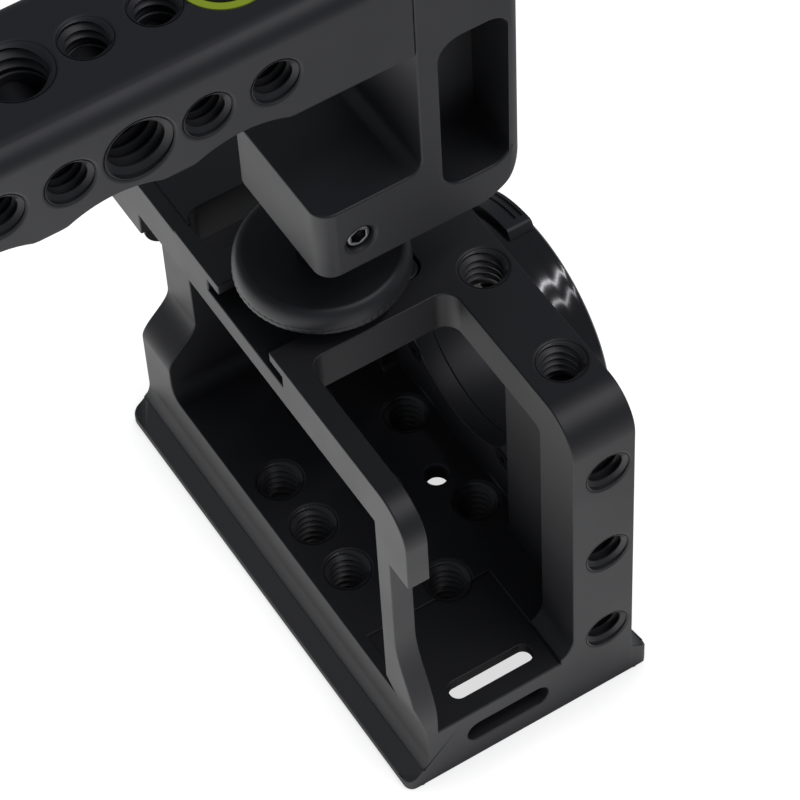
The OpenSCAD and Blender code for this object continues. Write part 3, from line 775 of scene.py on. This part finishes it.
def make_handle():
    bevelled("handle_bracket", "handle", HANDLE, 0.35, shape=reach_forward)
    rims = hole_mouths(("grip_holes_front", "grip_holes_middle", "grip_holes_rear",
                        "grip_holes_large", "grip_top_front", "grip_top_middle",
                        "grip_top_large"), ("grip_top_rear",))
    bevelled("grip_beam", "handle", HANDLE, 0.3, rims)
    # the set screw's chrome is darkened as painted shade for its hole
    bevelled("set_screw", "handle", SHADE_DARKENED_CHROME, 0.12)
    bevelled("beam_bolts", "handle", OXIDE, 0.15)
    paint("beam_pins", STEEL)
    for node in ("level_vial", "level_fluid"):
        paint(node, LEVEL)
    for node in ("level_bubble", "level_lens"):
        paint(node, CLEAR)


# ---------------------------------------------------------------- stage and light

SHEET_COLOUR = 0.3          # the pale sheet that the cage stands on
SHEET_GLOW = 1.25           # its light behind the cage, as the object and its reflections see it
FRONT_SHARE = 0.38          # how much of it is left in front of the cage
SHEET_BACK = 0.035          # metres along Y between which it changes
SHEET_FRONT = -0.065
SHEET_IN = 0.16             # metres from the middle where the sheet begins to darken
SHEET_OUT = 0.42
# painted shadow: near the foot the floor's emission is darkened by ambient occlusion, not by the lamps
ROOM_SHARE = 0.2            # brightness out there
CONTACT = 0.012             # metres over which the camera sees the floor darken near the foot
# the camera's white of the floor at the darkest of the painted contact shadow
PAINTED_SHADOW_WHITE = 0.70
SKY = (0.195, 0.205, 0.225)
LAMP_COLOUR = (0.96, 0.95, 1.0)
LAMP_DISTANCE = 1.3         # metres from the object's middle
LAMP_TARGET = (0, -0.01, 0.05)
LAMP_SIZE = (0.75, 0.055)
LAMP_LEAN = (0.4, -0.9, 0.1)    # the way its long side lies


def ramp_node(nodes, links, value, start, end, low, high):
    ramp = nodes.new("ShaderNodeMapRange")
    ramp.inputs["From Min"].default_value = start
    ramp.inputs["From Max"].default_value = end
    ramp.inputs["To Min"].default_value = low
    ramp.inputs["To Max"].default_value = high
    links.new(value, ramp.inputs["Value"])
    return ramp.outputs["Result"]


def make_floor():
    """A white floor for the camera, which lights the object only from the sheet near it; near the foot a contact
    shadow is painted into its white, and painted shade into its glow.
    """
    half = 3
    mesh = bpy.data.meshes.new("floor")
    mesh.from_pydata([(-half, -half, 0), (half, -half, 0), (half, half, 0), (-half, half, 0)], [],
                     [(0, 1, 2, 3)])
    floor = bpy.data.objects.new("floor", mesh)
    scene.collection.objects.link(floor)
    material, nodes, links = new_material("floor")
    bsdf = nodes["Principled BSDF"]
    bsdf.inputs["Base Color"].default_value = (SHEET_COLOUR, SHEET_COLOUR, SHEET_COLOUR, 1)
    bsdf.inputs["Roughness"].default_value = 0.9
    bsdf.inputs["Specular IOR Level"].default_value = 0.0
    bsdf.inputs["Emission Color"].default_value = (1, 1, 1, 1)
    place = nodes.new("ShaderNodeTexCoord")
    distance = nodes.new("ShaderNodeVectorMath")
    distance.operation = "LENGTH"
    links.new(place.outputs["Object"], distance.inputs[0])
    split = nodes.new("ShaderNodeSeparateXYZ")
    links.new(place.outputs["Object"], split.inputs["Vector"])
    near = ramp_node(nodes, links, distance.outputs["Value"], SHEET_IN, SHEET_OUT, 1, ROOM_SHARE)
    back = ramp_node(nodes, links, split.outputs["Y"], SHEET_FRONT, SHEET_BACK, FRONT_SHARE, 1)
    both = nodes.new("ShaderNodeMath")
    both.operation = "MULTIPLY"
    links.new(near, both.inputs[0])
    links.new(back, both.inputs[1])
    # painted contact shadow: ambient occlusion dims the floor's emission near the foot
    contact = nodes.new("ShaderNodeAmbientOcclusion")
    contact.inputs["Distance"].default_value = CONTACT
    white = ramp_node(nodes, links, contact.outputs["AO"], 0.4, 0.9, PAINTED_SHADOW_WHITE, 1)
    # painted shade in the glow that the object and its reflections see near the foot
    lit = ramp_node(nodes, links, contact.outputs["AO"], 0.45, 0.95, 0, SHEET_GLOW)
    glow = nodes.new("ShaderNodeMath")
    glow.operation = "MULTIPLY"
    links.new(both.outputs["Value"], glow.inputs[0])
    links.new(lit, glow.inputs[1])
    path = nodes.new("ShaderNodeLightPath")
    seen = nodes.new("ShaderNodeMix")
    links.new(path.outputs["Is Camera Ray"], seen.inputs["Factor"])
    links.new(glow.outputs["Value"], seen.inputs["A"])
    links.new(white, seen.inputs["B"])
    links.new(seen.outputs["Result"], bsdf.inputs["Emission Strength"])
    mesh.materials.append(material)


def make_world():
    world = bpy.data.worlds.new("world")
    scene.world = world
    world.use_nodes = True
    background = world.node_tree.nodes["Background"]
    background.inputs["Color"].default_value = (*SKY, 1)
    background.inputs["Strength"].default_value = 1.0


def strip_lamp(name, towards, irradiance):
    """A long soft lamp that faces the object from a direction."""
    towards = Vector(towards).normalized()
    data = bpy.data.lights.new(name, "AREA")
    data.shape = "RECTANGLE"
    data.size, data.size_y = LAMP_SIZE
    data.energy = irradiance * math.pi * LAMP_DISTANCE ** 2
    data.color = LAMP_COLOUR
    lamp = bpy.data.objects.new(name, data)
    at = Vector(LAMP_TARGET) + towards * LAMP_DISTANCE
    lamp.matrix_world = Matrix.Translation(at) @ axis_turn(towards, LAMP_LEAN)
    scene.collection.objects.link(lamp)


def make_lights():
    strip_lamp("key", (-0.27, -0.335, 0.90), 0.62)
    strip_lamp("fill", (-0.56, -0.335, 0.76), 0.33)


make_camera()
make_cage()
make_cage_threads()
make_lock_ring()
make_clamp()
make_handle()
make_grip_threads()
make_floor()
make_world()
make_lights()
scene.view_settings.view_transform = "Standard"
